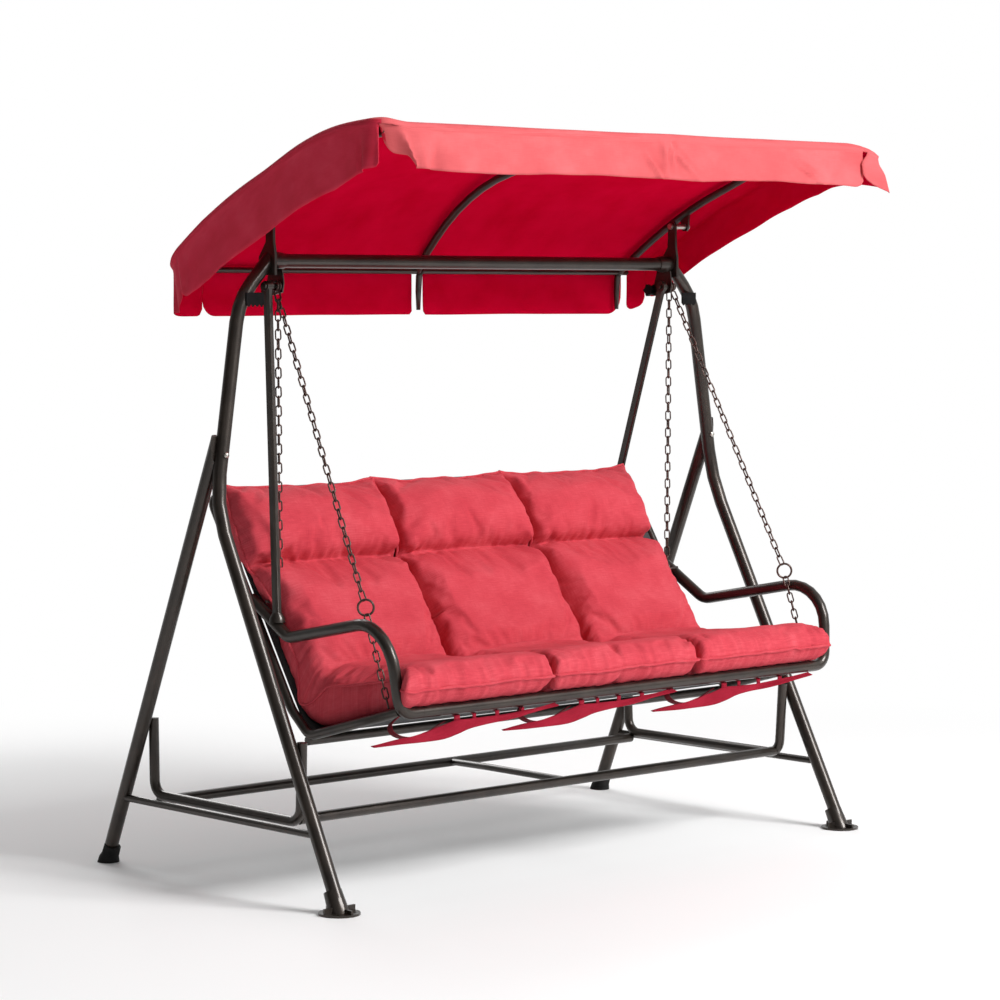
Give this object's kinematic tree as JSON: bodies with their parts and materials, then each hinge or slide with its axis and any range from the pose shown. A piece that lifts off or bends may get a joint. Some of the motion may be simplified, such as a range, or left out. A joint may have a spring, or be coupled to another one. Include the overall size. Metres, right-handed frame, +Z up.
{
  "type": "canopy swing seat",
  "caption": "Free-standing garden swing: tube end frames, a chain-hung cushioned bench with armrests and a tilting fabric canopy.",
  "frame": {"origin": "middle of the footprint box, on the ground under the feet", "axes": "+Z up, -Y towards the front that a sitter faces, +X along the top beam to the sitter's left"},
  "size_m": [2.01, 1.1574, 1.99],
  "materials": {
    "frame_metal": "glossy dark bronze-brown powder coat",
    "chain_metal": "satin antique bronze coating",
    "bolt_steel": "zinc-plated steel",
    "foot_rubber": "matt black",
    "black_plastic": "matt black moulded",
    "sling_mesh": "dark grey woven sling",
    "canopy_cloth": "red polyester canvas",
    "strap_cloth": "red tie cloth",
    "cushion_cloth": "coral red heathered linen weave"
  },
  "bodies": {
    "frame": {"front_leg_post_L": "frame_metal", "front_leg_post_R": "frame_metal", "rear_leg_L": "frame_metal", "rear_leg_R": "frame_metal", "top_beam": "frame_metal", "beam_sleeve_L": "frame_metal", "beam_sleeve_R": "frame_metal", "end_bracket_L": "frame_metal", "end_bracket_R": "frame_metal", "tilt_rack_L": "black_plastic", "tilt_rack_R": "black_plastic", "u_brace_L": "frame_metal", "u_brace_R": "frame_metal", "lower_bar_L": "frame_metal", "lower_bar_R": "frame_metal", "front_base_rail": "frame_metal", "rear_base_rail": "frame_metal", "centre_brace": "frame_metal", "front_foot_L": "frame_metal", "front_foot_R": "frame_metal", "rear_foot_cap_L": "foot_rubber", "rear_foot_cap_R": "foot_rubber", "leg_bolt_L": "bolt_steel", "leg_bolt_R": "bolt_steel", "hanger_bracket_L": "frame_metal", "hanger_bracket_R": "frame_metal", "canopy_bolt_L": "bolt_steel", "canopy_bolt_R": "bolt_steel"},
    "seat": {"seat_side_L": "frame_metal", "seat_side_R": "frame_metal", "armrest_L": "frame_metal", "armrest_R": "frame_metal", "seat_front_rail": "frame_metal", "seat_top_rail": "frame_metal", "seat_lower_rail": "frame_metal", "sling": "sling_mesh", "hanger_bar_L": "frame_metal", "hanger_bar_R": "frame_metal", "front_chain_L": "chain_metal", "front_chain_R": "chain_metal", "rear_chain_L": "chain_metal", "rear_chain_R": "chain_metal", "cushion_left": "cushion_cloth", "cushion_middle": "cushion_cloth", "cushion_right": "cushion_cloth", "strap_left": "strap_cloth", "strap_middle": "strap_cloth", "strap_right": "strap_cloth"},
    "canopy": {"canopy_cover": "canopy_cloth", "canopy_front_bar": "frame_metal", "canopy_rear_bar": "frame_metal", "canopy_rib_L": "frame_metal", "canopy_rib_R": "frame_metal", "canopy_rib_middle": "frame_metal"},
    "knob_left": {"clamp_knob_L": "black_plastic"},
    "knob_right": {"clamp_knob_R": "black_plastic"}
  },
  "joints": [
    {"name": "seat_swing", "type": "hinge", "parent": "frame", "child": "seat", "pos_m": [0, 0.04535, 1.583], "axis": [1, 0, 0], "range_deg": [-16, 16]},
    {"name": "canopy_tilt", "type": "hinge", "parent": "frame", "child": "canopy", "pos_m": [0, 0.05135, 1.762], "axis": [1, 0, 0], "range_deg": [-14, 18]},
    {"name": "knob_turn_left", "type": "hinge", "parent": "frame", "child": "knob_left", "pos_m": [-0.72, 0.10835, 1.573], "axis": [-1, 0, 0], "continuous": true},
    {"name": "knob_turn_right", "type": "hinge", "parent": "frame", "child": "knob_right", "pos_m": [0.72, 0.10835, 1.573], "axis": [1, 0, 0], "continuous": true}
  ]
}
